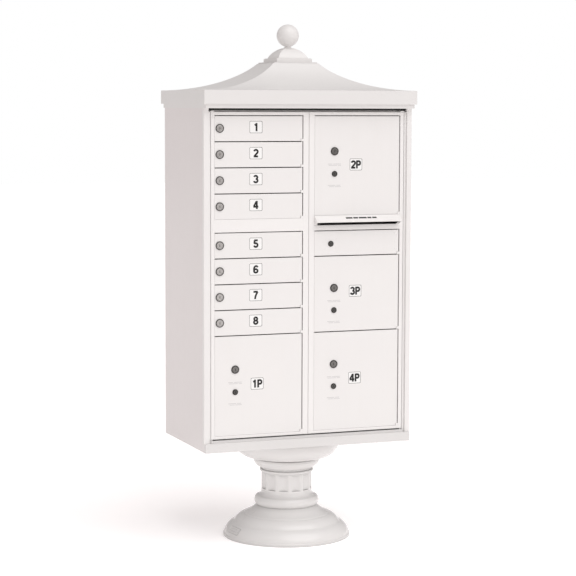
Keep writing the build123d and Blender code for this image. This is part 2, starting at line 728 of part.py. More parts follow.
# ---------------------------------------------------------------- small doors and locks
def lock_body(x, z, lock):
    """A cam lock's flanged body through a door, and the nut behind it."""
    flange, body, plug = lock
    forward(x, z, FACE - 2.25, FACE - 0.05, flange)
    forward(x, z, FACE - 0.5, FACE + LOCK_DEPTH, body)
    forward(x, z, FACE + DOOR_THICK + 0.05, FACE + DOOR_THICK + 4, body + 4)
    forward(x, z, FACE + DOOR_THICK + 0.02, FACE + DOOR_THICK + 4.1, body + 0.05, mode=Mode.SUBTRACT)
    forward(x, z, FACE - 0.5, FACE + LOCK_DEPTH, body)
    forward(x, z, FACE - 3, FACE + LOCK_DEPTH + 1, plug + 0.05, mode=Mode.SUBTRACT)
    forward(x, z, FACE - 3, FACE - 1.15, flange - 2.9, mode=Mode.SUBTRACT)


def lock_cam(name, x, z, lock, reach, direction):
    """The turning plug with its keyway, and the cam on its tail, stored unlatched."""
    flange, body, plug = lock
    tail = FACE + LOCK_DEPTH
    with BuildPart() as cam:
        forward(x, z, FACE - 1.95, FACE - 1.2, flange - 3.0)
        forward(x, z, FACE - 1.2, tail + 0.8, plug)
        slab((x - 0.9, x + 0.9), (FACE - 3, FACE + 9), (z - plug * 0.62, z + plug * 0.62), mode=Mode.SUBTRACT)
        with BuildSketch(Plane.XZ.offset(-(tail + 0.8))):
            with Locations((x, z)):
                Circle(plug + 2.5)
            middle = Vector(*direction) * (reach / 2)
            turn = 90 if direction[0] == 0 else 0
            with Locations((x + middle.X, z + middle.Y)):
                SlotOverall(reach + 10, 11, rotation=turn)
        extrude(amount=-2.4)
        forward(x, z, tail + 3.2, tail + 6.4, plug - 0.6)
    save(cam.part, name)


def small_door(name, column, low, high, locks, plate=None, rivets=()):
    """A door panel with returned edges, a rolled hinge edge, its two pins and its lock bodies.

    column is the lock edge and the hinge stile of the opening, low and high its ends.
    """
    lock_edge, stile = column
    axis = stile - HINGE_GAP - KNUCKLE
    hinge_y = FACE + KNUCKLE
    left = lock_edge + DOOR_GAP
    bottom = low + DOOR_GAP
    top = high - TOP_GAP
    back = FACE + DOOR_THICK
    with BuildPart() as door:
        slab((left, axis), (FACE, back), (bottom, top))
        slab((left, left + 2), (back, back + 6), (bottom, top))
        for edge in ((bottom, bottom + 2), (top - 2, top)):
            slab((left, axis - 8), (back, back + 6), edge)
        upright(axis, hinge_y, bottom, top, KNUCKLE)
        notch_top = low + LUG_HIGH + 0.5
        notch = (bottom - 1, notch_top)
        slab((axis - KNUCKLE - 1.5, axis + 5), (FACE - 1, FACE + 12), notch, mode=Mode.SUBTRACT)
        upright(axis, hinge_y, notch_top - 1, notch_top + 4.1, DOOR_BORE, mode=Mode.SUBTRACT)
        upright(axis, hinge_y, top - 4.1, top + 1, DOOR_BORE, mode=Mode.SUBTRACT)
        upright(axis, hinge_y, low + 3.8, notch_top + 4, DOOR_PIN)
        upright(axis, hinge_y, top - 4, high + 3, DOOR_PIN)
        if plate:
            with BuildSketch(Plane.XZ.offset(-(FACE + 0.6))):
                with Locations(plate):
                    RectangleRounded(PLATE_WIDTH, PLATE_HEIGHT, 4)
            extrude(amount=5, mode=Mode.SUBTRACT)
        for x, z in rivets:
            forward(x, z, FACE - 0.5, FACE + 1, 2.4)
        for x, z, lock in locks:
            forward(x, z, FACE - 1, back + 1, lock[1] + 0.05, mode=Mode.SUBTRACT)
        for x, z, lock in locks:
            lock_body(x, z, lock)
    save(door.part, name)


LEFT_COLUMN = (-COLUMN_OUT, -COLUMN_IN)
RIGHT_COLUMN = (COLUMN_IN, COLUMN_OUT)


def tenant_doors():
    lower = [PARCEL_TOP + step * PITCH for step in (3, 2, 1, 0)]
    upper = [MID_TOP + step * PITCH for step in (3, 2, 1, 0)]
    lock_x = LEFT_COLUMN[0] + TENANT_LOCK_INSET
    for number, low in enumerate(upper + lower, start=1):
        middle = low + PITCH / 2
        small_door(
            f"tenant_door_{number}",
            LEFT_COLUMN,
            low,
            low + PITCH,
            [(lock_x, middle, TENANT_LOCK)],
            plate=(-195.8, middle + 4),
        )
        lock_cam(f"tenant_lock_cam_{number}", lock_x, middle, TENANT_LOCK, 27, (0, -1))


# Each parcel locker: its column, its ends, and the heights of its two locks and its number.
PARCELS = {
    1: (LEFT_COLUMN, COLUMN_LOW, PARCEL_TOP, BOTTOM + 284.5, BOTTOM + 206, BOTTOM + 232),
    2: (RIGHT_COLUMN, SLOT_ZONE_TOP, COLUMN_TOP, BOTTOM + 1034, BOTTOM + 955.5, BOTTOM + 987.5),
    3: (RIGHT_COLUMN, PARCEL_TOP, PARCEL_TOP + 3 * PITCH, BOTTOM + 556, BOTTOM + 478, BOTTOM + 543.5),
    4: (RIGHT_COLUMN, COLUMN_LOW, PARCEL_TOP, BOTTOM + 287, BOTTOM + 208.5, BOTTOM + 235),
}


def parcel_doors():
    for number, (column, low, high, key_z, carrier_z, plate_z) in PARCELS.items():
        lock_x = column[0] + PARCEL_LOCK_INSET
        plate = (lock_x + 81, plate_z)
        locks = [(lock_x, key_z, KEY_LOCK), (lock_x, carrier_z, CARRIER_LOCK)]
        small_door(f"parcel_door_{number}", column, low, high, locks, plate=plate)
        reach = PARCEL_LOCK_INSET + 2
        lock_cam(f"parcel_key_cam_{number}", lock_x, key_z, KEY_LOCK, reach, (0, 1))
        lock_cam(f"parcel_carrier_cam_{number}", lock_x, carrier_z, CARRIER_LOCK, reach, (0, -1))


def collection_door():
    low = PARCEL_TOP + 3 * PITCH
    lock_x = COLUMN_IN + COLLECTION_LOCK_INSET
    lock_z = BOTTOM + 711.5
    rivets = [(COLUMN_OUT - 19, low + 44.5 + step * 27) for step in (-1, 0, 1)]
    small_door(
        "collection_door", RIGHT_COLUMN, low, low + PITCH, [(lock_x, lock_z, CARRIER_LOCK)], rivets=rivets
    )
    lock_cam("collection_lock_cam", lock_x, lock_z, CARRIER_LOCK, 56, (1, 0))


# ---------------------------------------------------------------- build everything
pedestal_base_plate()
pedestal_post()
pedestal_top_plate()
pedestal_bolts()
pedestal_covers()
pedestal_cover_clips()
side_panels()
back_panel()
top_panel()
floor_panel()
door_jambs()
sill_panel()
header_rail()
header_gasket()
compartment_racks()
cap_collar()
cap_fascia()
cap_roof()
cap_crown()
finial()
left_lugs = [COLUMN_LOW] + [PARCEL_TOP + step * PITCH for step in range(4)] + [
    MID_TOP + step * PITCH for step in range(4)
]
right_lugs = [COLUMN_LOW, PARCEL_TOP, PARCEL_TOP + 3 * PITCH, SLOT_ZONE_TOP]
end_rails = [(MASTER_LOW, COLUMN_LOW), (COLUMN_TOP, MASTER_TOP)]
master_door(-1, "left_master_door", end_rails + [(MID_LOW, MID_TOP)], left_lugs)
master_door(1, "right_master_door", end_rails + [(MID_LOW, SLOT_LOW)], right_lugs)
mail_slot_hood()
mail_slot_liner()
master_latch_bar()
tenant_doors()
parcel_doors()
collection_door()
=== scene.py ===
import json
import math

import bpy
from mathutils import Matrix, Vector

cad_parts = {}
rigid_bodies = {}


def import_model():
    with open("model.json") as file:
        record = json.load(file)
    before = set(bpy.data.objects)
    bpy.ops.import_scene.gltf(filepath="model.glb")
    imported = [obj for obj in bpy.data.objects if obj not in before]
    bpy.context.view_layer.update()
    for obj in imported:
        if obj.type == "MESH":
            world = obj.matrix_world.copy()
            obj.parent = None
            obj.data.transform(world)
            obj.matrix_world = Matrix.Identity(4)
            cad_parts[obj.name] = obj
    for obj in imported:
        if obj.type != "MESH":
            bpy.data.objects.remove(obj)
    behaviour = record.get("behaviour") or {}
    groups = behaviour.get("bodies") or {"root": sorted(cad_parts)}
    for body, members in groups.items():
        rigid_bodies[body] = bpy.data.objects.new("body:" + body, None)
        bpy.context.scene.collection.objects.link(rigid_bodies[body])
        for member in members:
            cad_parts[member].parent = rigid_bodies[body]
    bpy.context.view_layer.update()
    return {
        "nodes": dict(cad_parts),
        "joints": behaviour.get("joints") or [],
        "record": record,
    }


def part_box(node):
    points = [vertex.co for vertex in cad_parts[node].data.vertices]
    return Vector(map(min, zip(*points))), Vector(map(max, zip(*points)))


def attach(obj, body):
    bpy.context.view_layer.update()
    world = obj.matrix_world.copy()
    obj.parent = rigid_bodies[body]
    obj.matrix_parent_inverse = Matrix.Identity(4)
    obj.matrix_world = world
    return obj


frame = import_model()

MM = 0.001
JOINTS = {joint["name"]: joint for joint in frame["joints"]}
BODIES = frame["record"]["behaviour"]["bodies"]
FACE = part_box("left_master_door")[0].y  # the doors' outer plane

# ---------------------------------------------------------------- camera
EYE = Vector((-2.4621, -6.3770, 1.5488))
YAW = 0.369  # to the right of straight back
PITCH = 0.0953  # downwards
ROLL = 0.0031
LENS = 119.57
SENSOR = 36.0


def make_camera():
    data = bpy.data.cameras.new("camera")
    data.lens = LENS
    data.sensor_width = SENSOR
    camera = bpy.data.objects.new("camera", data)
    bpy.context.scene.collection.objects.link(camera)
    ahead = Vector((math.sin(YAW) * math.cos(PITCH), math.cos(YAW) * math.cos(PITCH), -math.sin(PITCH)))
    turn = ahead.to_track_quat("-Z", "Y").to_matrix().to_4x4()
    camera.matrix_world = Matrix.Translation(EYE) @ turn @ Matrix.Rotation(ROLL, 4, "Z")
    bpy.context.scene.camera = camera


# ---------------------------------------------------------------- materials
class Shader:
    """One principled material, with helpers for the nodes that vary it over the surface."""

    def __init__(self, name, **values):
        self.material = bpy.data.materials.new(name)
        self.material.use_nodes = True
        self.tree = self.material.node_tree
        self.surface = self.tree.nodes["Principled BSDF"]
        self.coords = self.tree.nodes.new("ShaderNodeTexCoord").outputs["Object"]
        for socket, value in values.items():
            self.surface.inputs[socket.replace("_", " ")].default_value = value

    def stretch(self, x, y, z):
        node = self.tree.nodes.new("ShaderNodeMapping")
        node.inputs["Scale"].default_value = (x, y, z)
        self.tree.links.new(self.coords, node.inputs["Vector"])
        return node.outputs["Vector"]

    def noise(self, scale, detail=2.0, roughness=0.5, along=None):
        node = self.tree.nodes.new("ShaderNodeTexNoise")
        node.inputs["Scale"].default_value = scale
        node.inputs["Detail"].default_value = detail
        node.inputs["Roughness"].default_value = roughness
        self.tree.links.new(self.coords if along is None else along, node.inputs["Vector"])
        return node.outputs["Fac"]

    def cells(self, scale):
        node = self.tree.nodes.new("ShaderNodeTexVoronoi")
        node.inputs["Scale"].default_value = scale
        self.tree.links.new(self.coords, node.inputs["Vector"])
        return node.outputs["Color"]

    def spread(self, source, low, high, start=0.3, end=0.7):
        node = self.tree.nodes.new("ShaderNodeMapRange")
        node.inputs["From Min"].default_value = start
        node.inputs["From Max"].default_value = end
        node.inputs["To Min"].default_value = low
        node.inputs["To Max"].default_value = high
        self.tree.links.new(source, node.inputs["Value"])
        return node.outputs["Result"]

    def mix(self, factor, first, second):
        node = self.tree.nodes.new("ShaderNodeMix")
        node.data_type = "RGBA"
        self.tree.links.new(factor, node.inputs["Factor"])
        for socket, value in (("A", first), ("B", second)):
            target = [s for s in node.inputs if s.name == socket and s.type == "RGBA"][0]
            if isinstance(value, tuple):
                target.default_value = (*value, 1.0)
            else:
                self.tree.links.new(value, target)
        return [s for s in node.outputs if s.type == "RGBA"][0]

    def bump(self, height, strength, distance, under=None):
        node = self.tree.nodes.new("ShaderNodeBump")
        node.inputs["Strength"].default_value = strength
        node.inputs["Distance"].default_value = distance
        self.tree.links.new(height, node.inputs["Height"])
        if under is not None:
            self.tree.links.new(under, node.inputs["Normal"])
        return node.outputs["Normal"]

    def creases(self, reach):
        """Painted shade mask: nearly 1 on open faces and low in grooves narrower than the reach."""
        node = self.tree.nodes.new("ShaderNodeAmbientOcclusion")
        node.inputs["Distance"].default_value = reach
        node.samples = 8
        return self.spread(node.outputs["AO"], 0.0, 1.0, 0.45, 0.95)

    def link(self, socket, value):
        self.tree.links.new(value, self.surface.inputs[socket])


def tint(colour, factor):
    return tuple(channel * factor for channel in colour)


def powder_coat(name, colour, roughness, casting=0.0, run_off=0.3, peel=0.08, crease=0.0):
    """Baked powder coat: orange peel, faint mottling and run-off streaks.

    Casting adds waves, and the groove argument darkens narrow grooves, which is painted shade.
    """
    shader = Shader(name, Coat_Weight=0.08, Coat_Roughness=0.18)
    cloud = shader.spread(shader.noise(5, detail=4), 0.0, 1.0)
    runs = shader.noise(1, detail=4, along=shader.stretch(38, 38, 1.6))
    streak = shader.spread(runs, 0.0, run_off, 0.5, 0.85)
    speck = shader.spread(shader.noise(1600, detail=1), 0.0, 0.12, 0.65, 0.9)
    base = shader.mix(cloud, colour, tint(colour, 0.985))
    base = shader.mix(streak, base, (colour[0] * 0.96, colour[1] * 0.955, colour[2] * 0.94))
    base = shader.mix(speck, base, tint(colour, 0.88))
    if crease:
        # Painted shade: the coat is darker where the groove mask is low.
        base = shader.mix(shader.creases(0.018), tint(colour, 1 - crease), base)
    shader.link("Base Color", base)
    shader.link("Roughness", shader.spread(shader.noise(45, detail=3), roughness - 0.04, roughness + 0.05))
    normal = shader.bump(shader.noise(520, detail=1), peel, 0.0003)
    if casting:
        normal = shader.bump(shader.noise(26, detail=2), casting, 0.0008, under=normal)
    shader.link("Normal", normal)
    return shader.material


def plated(name, colour, roughness, wear=0.25):
    """Plated metal with fine turning marks, small scratches and a little tarnish."""
    shader = Shader(name, Metallic=1.0)
    tarnish = shader.spread(shader.noise(160, detail=4), 0.0, wear)
    shader.link("Base Color", shader.mix(tarnish, colour, tint(colour, 0.45)))
    shader.link("Roughness", shader.spread(shader.noise(700, detail=3), roughness - 0.06, roughness + 0.12))
    scratches = shader.noise(1, detail=3, along=shader.stretch(4200, 500, 350))
    shader.link("Normal", shader.bump(scratches, 0.2, 0.0001))
    return shader.material


def mill_sheet(name, colour):
    """Bare rolled sheet: long rolling marks from front to back, and dull patches."""
    shader = Shader(name, Metallic=0.85)
    marks = shader.noise(1, detail=4, along=shader.stretch(900, 14, 900))
    dull = shader.spread(shader.noise(22, detail=4), 0.0, 0.6)
    shader.link("Base Color", shader.mix(dull, colour, tint(colour, 0.72)))
    shader.link("Roughness", shader.spread(marks, 0.34, 0.55))
    shader.link("Normal", shader.bump(marks, 0.15, 0.0002))
    return shader.material


def spangle(name):
    """Hot-dip galvanising: flat crystals of different grey."""
    shader = Shader(name, Metallic=0.8)
    crystals = shader.cells(95)
    shader.link("Base Color", shader.mix(crystals, (0.42, 0.43, 0.45), (0.62, 0.63, 0.64)))
    shader.link("Roughness", shader.spread(crystals, 0.35, 0.6, 0.0, 1.0))
    shader.link("Normal", shader.bump(shader.noise(300, detail=2), 0.1, 0.0003))
    return shader.material


def moulded(name, colour, roughness, grain):
    """Black rubber or plastic with a fine moulded grain and a grey bloom."""
    shader = Shader(name)
    bloom = shader.spread(shader.noise(40, detail=5), 0.0, 0.5)
    lighter = tuple(channel + 0.025 for channel in colour)
    shader.link("Base Color", shader.mix(bloom, colour, lighter))
    shader.link("Roughness", shader.spread(shader.noise(200), roughness - 0.08, roughness + 0.08))
    shader.link("Normal", shader.bump(shader.noise(grain, detail=2), 0.3, 0.0003))
    return shader.material


def ink(name, colour):
    """Printed vinyl: flat ink with a slight texture from the film under it."""
    shader = Shader(name)
    film = shader.spread(shader.noise(500), 0.0, 1.0)
    shader.link("Base Color", shader.mix(film, colour, tint(colour, 0.9)))
    shader.link("Roughness", shader.spread(shader.noise(350), 0.4, 0.52))
    shader.link("Normal", shader.bump(shader.noise(800, detail=1), 0.06, 0.0002))
    return shader.material


WHITE = (0.835, 0.82, 0.808)
# Darker, pinker white for the side panels: painted shade, as the cabinet is one white.
SHADED_SIDE_WHITE = (0.758, 0.72, 0.714)
MATERIALS = {
    "cabinet": powder_coat("cabinet_powder_coat", WHITE, 0.42),
    "frame": powder_coat("frame_powder_coat", tint(WHITE, 0.985), 0.4),
    "door": powder_coat("door_powder_coat", tint(WHITE, 0.95), 0.44),
    "cap": powder_coat("cap_powder_coat", tint(WHITE, 0.89), 0.36, casting=0.06, run_off=0.08),
    "side": powder_coat("shaded_side_powder_coat", SHADED_SIDE_WHITE, 0.42),
    # Sill coat: a darker copy of the white, which is painted shade.
    "shaded_trim": powder_coat("shaded_trim_powder_coat", tint(WHITE, 0.83), 0.42),
    # Roof coat: a darker copy of the white, which is painted shade on the roof.
    "shaded_roof": powder_coat("shaded_roof_powder_coat", tint(WHITE, 0.89), 0.4, casting=0.06, run_off=0.05),
    # The pedestal's coat gets painted shade in its narrow grooves.
    "pedestal": powder_coat(
        "pedestal_powder_coat", tint(WHITE, 0.87), 0.17, run_off=0.0, peel=0.0, crease=0.3
    ),
    "rack": mill_sheet("rack_mill_sheet", (0.62, 0.63, 0.64)),
    "galvanised": spangle("galvanised_plate"),
    "zinc": plated("zinc_plating", (0.55, 0.54, 0.5), 0.36),
    "nickel": plated("lock_nickel", (0.5, 0.487, 0.473), 0.24),
    # The lock rings and the parcel key plug are darker copies of the plating: painted shade and dark
    # reflections.
    "ring": plated("lock_ring_painted_shade", (0.1, 0.097, 0.093), 0.3),
    "painted_shade_key_plug": plated("parcel_lock_nickel_painted_shade", (0.2, 0.194, 0.186), 0.22),
    "painted_shade_ring": plated("lock_ring_dark_painted_shade", (0.06, 0.057, 0.054), 0.34),
    "carrier": plated("carrier_lock_dark", (0.11, 0.107, 0.103), 0.34),
    # Keyway colour: near-black painted shadow inside a plug's slot.
    "keyway": moulded("keyway_shadow", (0.006, 0.006, 0.006), 0.8, 900),
    # Black gasket rubber: partly its real colour, partly painted shade where the header gasket fills the
    # band under the trim.
    "rubber": moulded("gasket_rubber_and_header_shade", (0.012, 0.012, 0.012), 0.7, 1200),
    # Black liner of the mail slot: partly its real colour, partly painted shade for the hood's open sides
    # and the band under it.
    "liner_and_slot_shade": moulded("liner_plastic_and_slot_shade", (0.014, 0.014, 0.014), 0.55, 900),
    "label": ink("label_film", (0.9, 0.9, 0.89)),
    "border_and_recess_shade": ink("label_border_and_recess_shade", (0.12, 0.118, 0.115)),
    "digit": ink("label_digit", (0.004, 0.004, 0.004)),
    "mark": ink("printed_mark", (0.012, 0.012, 0.012)),
    "faint_mark": ink("faint_mark", (0.62, 0.61, 0.605)),
}
SLOT_MATERIALS = {
    "white_cabinet": "cabinet",
    "white_cap": "cap",
    "white_frames": "frame",
    "white_doors": "door",
    "white_pedestal": "pedestal",
    "bare_rack": "rack",
    "galvanised_plate": "galvanised",
    "zinc_hardware": "zinc",
    "lock_steel": "nickel",
    "black_rubber": "rubber",
    "black_plastic": "liner_and_slot_shade",
}


# ---------------------------------------------------------------- CAD nodes
def dress(node, *keys):
    """Gives a CAD node its materials; faces start on the first."""
    mesh = frame["nodes"][node].data
    mesh.materials.clear()
    for key in keys:
        mesh.materials.append(MATERIALS[key])
    return mesh


# Nodes whose coat is a lighter or darker copy of the white than the rest of their slot: the lighter copies
# are painted light, the darker ones painted shade.
LIT_AND_SHADED_NODE_MATERIALS = {
    "cap_roof": "shaded_roof",
    "cap_crown": "door",
    "finial": "door",
    "left_jamb": "door",
    "right_jamb": "door",
    "sill_panel": "shaded_trim",
    "left_side_panel": "side",
    "right_side_panel": "side",
}


def dress_nodes():
    for entry in frame["record"]["subparts"]:
        node = entry["node"]
        dress(node, LIT_AND_SHADED_NODE_MATERIALS.get(node, SLOT_MATERIALS[entry["material_slot"]]))


def lock_centre(body):
    x, y, z = JOINTS[f"{body}_turn"]["pos_m"]
    return Vector((x, FACE, z))


def cams_on(body):
    """The lock cams carried by one small door."""
    return [joint["child"] for joint in frame["joints"] if joint["parent"] == body]


HINGE_PIN = 1.6 * MM  # reach round a small door's hinge axis that takes in its pins
LOCK_REACH = 15.0 * MM  # reach round a lock's axis that takes in its flange, body and nut
PLATE = 3.0 * MM  # thickness of a small door
HAIR = 0.02 * MM


def dress_door(body):
    """Paints a door's lock bodies, nuts and hinge pins as plated metal, and its lock flanges in a darker
    copy of the plating, which is painted shade and dark reflection.
    """
    mesh = dress(BODIES[body][0], "door", "zinc", "painted_shade_ring")
    centres = [lock_centre(cam) for cam in cams_on(body)]
    hinge = JOINTS[f"{body}_hinge"]["pos_m"]
    for face in mesh.polygons:
        point = face.center
        depth = point.y - FACE
        if math.hypot(point.x - hinge[0], point.y - hinge[1]) < HINGE_PIN:
            face.material_index = 1
        for centre in centres:
            if math.hypot(point.x - centre.x, point.z - centre.z) > LOCK_REACH:
                continue
            if depth < -HAIR:
                face.material_index = 2
            elif depth > PLATE + HAIR or 0.1 * MM < depth < PLATE - 0.1 * MM:
                face.material_index = 1


KEYWAY_HALF_WIDTH = 0.95 * MM
KEYWAY_HALF_HEIGHT = 4.2 * MM


def dress_cam(body, key):
    """Paints the keyway of a lock's plug near-black: painted shadow inside the slot."""
    mesh = dress(BODIES[body][0], key, "keyway")
    centre = lock_centre(body)
    for face in mesh.polygons:
        point = face.center
        beside = abs(point.x - centre.x) < KEYWAY_HALF_WIDTH
        level = abs(point.z - centre.z) < KEYWAY_HALF_HEIGHT
        if beside and level and FACE - 1.9 * MM < point.y < FACE + 9.5 * MM:
            face.material_index = 1


# ---------------------------------------------------------------- pieces
def piece(name, verts, faces, keys, body, slot, choose=None, smooth=30):
    """A mesh piece that rides on a body; choose gives each face's material from its index."""
    mesh = bpy.data.meshes.new(name)
    mesh.from_pydata(verts, [], faces)
    for key in keys:
        mesh.materials.append(MATERIALS[key])
    if choose:
        for face in mesh.polygons:
            face.material_index = choose(face.index)
    mesh.shade_smooth()
    mesh.set_sharp_from_angle(angle=math.radians(smooth))
    mesh.update()
    obj = bpy.data.objects.new(name, mesh)
    bpy.context.scene.collection.objects.link(obj)
    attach(obj, body)
    return obj


def axes_for(normal):
    """Two directions across a normal."""
    across = Vector((0, 0, 1)).cross(normal)
    if across.length < 0.01:
        across = Vector((1, 0, 0))
    across.normalize()
    return across, normal.cross(across)


def lathe(centre, normal, profile, segments=40):
    """Verts and faces of a turned form: profile points are (radius, height along the normal) in mm."""
    u, v = axes_for(normal)
    verts = []
    faces = []
    for radius, height in profile:
        for step in range(segments):
            angle = 2 * math.pi * step / segments
            spoke = u * math.cos(angle) + v * math.sin(angle)
            verts.append(centre + spoke * radius * MM + normal * height * MM)
    for ring in range(len(profile) - 1):
        for step in range(segments):
            first = ring * segments + step
            second = ring * segments + (step + 1) % segments
            faces.append((first, second, second + segments, first + segments))
    if profile[0][0] > 0 and profile[0] != profile[-1]:
        faces.append(tuple(reversed(range(segments))))
        last = (len(profile) - 1) * segments
        faces.append(tuple(range(last, last + segments)))
    return verts, faces


def closed_ring(centre, normal, profile, segments=48):
    """A turned ring whose profile is a closed loop."""
    verts, faces = lathe(centre, normal, profile + [profile[0]], segments)
    verts = verts[: len(profile) * segments]
    count = len(verts)
    return verts, [tuple(index % count for index in face) for face in faces]


OUT = Vector((0, -1, 0))


def lock_bezel(body, door_body, radius, key="painted_shade_ring"):
    """Rounded flange ring of a lock, over the flange that stands on the door; its dark plating is painted
    shade and dark reflection.
    """
    inner = radius - 2.96
    profile = [
        (inner, 1.3),
        (inner, 2.25),
        (inner + 0.35, 2.55),
        (inner + 1.1, 2.68),
        (radius - 0.7, 2.45),
        (radius - 0.1, 2.0),
        (radius + 0.15, 1.3),
        (radius + 0.18, 0.3),
        (radius + 0.02, 0.06),
        (radius - 1.6, 0.06),
    ]
    verts, faces = closed_ring(lock_centre(body), OUT, profile)
    piece(f"{body}_bezel", verts, faces, [key], door_body, "lock_steel")


def plug_face(body, radius, key):
    """Turned ring on the face of a lock's plug, round its keyway."""
    centre = lock_centre(body)
    edge = radius - 3.15
    profile = [
        (edge, 1.9),
        (edge, 2.1),
        (edge - 0.5, 2.22),
        (edge - 1.5, 2.22),
        (edge - 2.0, 2.02),
        (edge - 2.4, 2.0),
        (edge - 2.4, 1.9),
    ]
    verts, faces = closed_ring(centre, OUT, profile)
    piece(f"{body}_face", verts, faces, [key], body, "lock_steel")


def rounded_outline(width, height, radius, steps=6):
    points = []
    for corner, (sx, sz) in enumerate(((1, 1), (-1, 1), (-1, -1), (1, -1))):
        for step in range(steps + 1):
            angle = math.pi / 2 * (corner + step / steps)
            x = sx * (width / 2 - radius) + radius * math.cos(angle)
            z = sz * (height / 2 - radius) + radius * math.sin(angle)
            points.append((x, z))
    return points


LABEL_WIDTH = 47.0
LABEL_HEIGHT = 41.0


def label_plate(name, centre, text, body):
    """Vinyl number label in its recess: film, a dark border ring that is partly printed border and partly
    painted shade of the recess edge, and number.
    """
    loops = [(0, 4.0, -0.58), (0, 4.0, -0.34), (0.4, 3.9, -0.28), (2.7, 3.4, -0.28), (2.9, 3.3, -0.3)]
    verts = []
    for inset, radius, out in loops:
        for x, z in rounded_outline(LABEL_WIDTH - inset, LABEL_HEIGHT - inset, radius):
            verts.append(centre + Vector((x, -out, z)) * MM)
    count = len(rounded_outline(1, 1, 0.1))
    faces = []
    for ring in range(len(loops) - 1):
        for step in range(count):
            first = ring * count + step
            second = ring * count + (step + 1) % count
            faces.append((first, second, second + count, first + count))
    faces.append(tuple(range(count)))
    faces.append(tuple(range((len(loops) - 1) * count, len(loops) * count)))
    # Border ring faces: partly printed border, partly painted shade of the recess edge.
    border_and_recess_shade = range(count, 3 * count)
    faces = [tuple(reversed(face)) for face in faces]
    piece(
        f"{name}_label", verts, faces, ["label", "border_and_recess_shade"], body, "white_doors",
        choose=lambda index: 1 if index in border_and_recess_shade else 0,
    )
    number(f"{name}_number", centre + Vector((0, 0.27, 0)) * MM, text, body)


def arc(x, y, rx, ry, start, end, steps=14):
    """Points along an ellipse's arc, in glyph units, from one angle to another in degrees."""
    points = []
    for step in range(steps + 1):
        angle = math.radians(start + (end - start) * step / steps)
        points.append((x + rx * math.cos(angle), y + ry * math.sin(angle)))
    return points


# Centre lines of each glyph's strokes, one unit high; a stroke that ends where it starts is a closed loop.
GLYPHS = {
    "1": [[(0.4, 0), (0.4, 1)], [(0.4, 0.9), (0.3, 0.8), (0.16, 0.725)]],
    "2": [arc(0.33, 0.68, 0.235, 0.225, 170, -38) + [(0.13, 0.14)], [(0.03, 0.095), (0.6, 0.095)]],
    "3": [
        arc(0.31, 0.71, 0.21, 0.195, 165, -90),
        arc(0.31, 0.305, 0.24, 0.21, 90, -168),
    ],
    "4": [[(0.45, 0), (0.45, 1)], [(0.42, 0.95), (0.06, 0.32)], [(0.0, 0.29), (0.64, 0.29)]],
    "5": [
        [(0.13, 0.905), (0.58, 0.905)],
        [(0.19, 0.93), (0.125, 0.5)],
        arc(0.32, 0.325, 0.24, 0.23, 140, -165),
    ],
    "6": [arc(0.33, 0.31, 0.235, 0.215, 0, 360), arc(0.37, 0.52, 0.275, 0.385, 38, 195)],
    "7": [[(0.03, 0.905), (0.6, 0.905)], [(0.56, 0.86), (0.38, 0.55), (0.27, 0.25), (0.24, 0)]],
    "8": [arc(0.33, 0.715, 0.2, 0.19, 0, 360), arc(0.33, 0.305, 0.235, 0.21, 0, 360)],
    "P": [
        [(0.115, 0), (0.115, 1)],
        [(0.115, 0.905), (0.37, 0.905)] + arc(0.37, 0.68, 0.185, 0.225, 90, -90) + [(0.115, 0.455)],
    ],
}
STROKE_HALF = 0.118
GLYPH_HEIGHT = 28.0
GLYPH_STEP = 0.7


def stroke_ribbon(points, out_near, out_far, place):
    """A flat stroke of constant width along a line, as a thin solid."""
    closed = math.dist(points[0], points[-1]) < 1e-6
    if closed:
        points = points[:-1]
    count = len(points)
    verts = []
    for index, (x, y) in enumerate(points):
        before = points[index - 1] if closed or index else points[index]
        after = points[(index + 1) % count] if closed or index < count - 1 else points[index]
        along = Vector((after[0] - before[0], after[1] - before[1])).normalized()
        side = Vector((-along.y, along.x)) * STROKE_HALF
        for out in (out_near, out_far):
            for sign in (1, -1):
                verts.append(place(x + sign * side.x, y + sign * side.y, out))
    faces = []
    for index in range(count if closed else count - 1):
        a = 4 * index
        b = 4 * ((index + 1) % count)
        faces += [(a + 2, a + 3, b + 3, b + 2), (a, b, b + 1, a + 1)]
        faces += [(a, a + 2, b + 2, b), (a + 1, b + 1, b + 3, a + 3)]
    if not closed:
        last = 4 * (count - 1)
        faces += [(0, 1, 3, 2), (last, last + 2, last + 3, last + 1)]
    return verts, faces


def number(name, centre, text, body):
    """Bold digits, cut as thin vinyl."""
    width = 0.66 + GLYPH_STEP * (len(text) - 1)
    verts = []
    faces = []
    for position, letter in enumerate(text):
        for layer, points in enumerate(GLYPHS[letter]):

            def place(x, y, out):
                across = (x + position * GLYPH_STEP - width / 2) * GLYPH_HEIGHT
                return centre + Vector((across, -out, (y - 0.5) * GLYPH_HEIGHT)) * MM

            new_verts, new_faces = stroke_ribbon(points, 0.0, 0.1 + 0.02 * layer, place)
            start = len(verts)
            verts += new_verts
            faces += [tuple(index + start for index in face) for face in new_faces]
    piece(name, verts, faces, ["digit"], body, "black_plastic")


def rivets(name, places, normal, radius, keys, body, slot):
    """Domed rivet heads in one piece."""
    verts = []
    faces = []
    outline = [(1, -0.1), (1, 0.15), (0.88, 0.45), (0.6, 0.75), (0.25, 0.9)]
    profile = [(radius * share, height) for share, height in outline]
    for place in places:
        start = len(verts)
        new_verts, new_faces = lathe(place, normal, profile, 20)
        verts += new_verts
        faces += [tuple(index + start for index in face) for face in new_faces]
    piece(name, verts, faces, keys, body, slot)


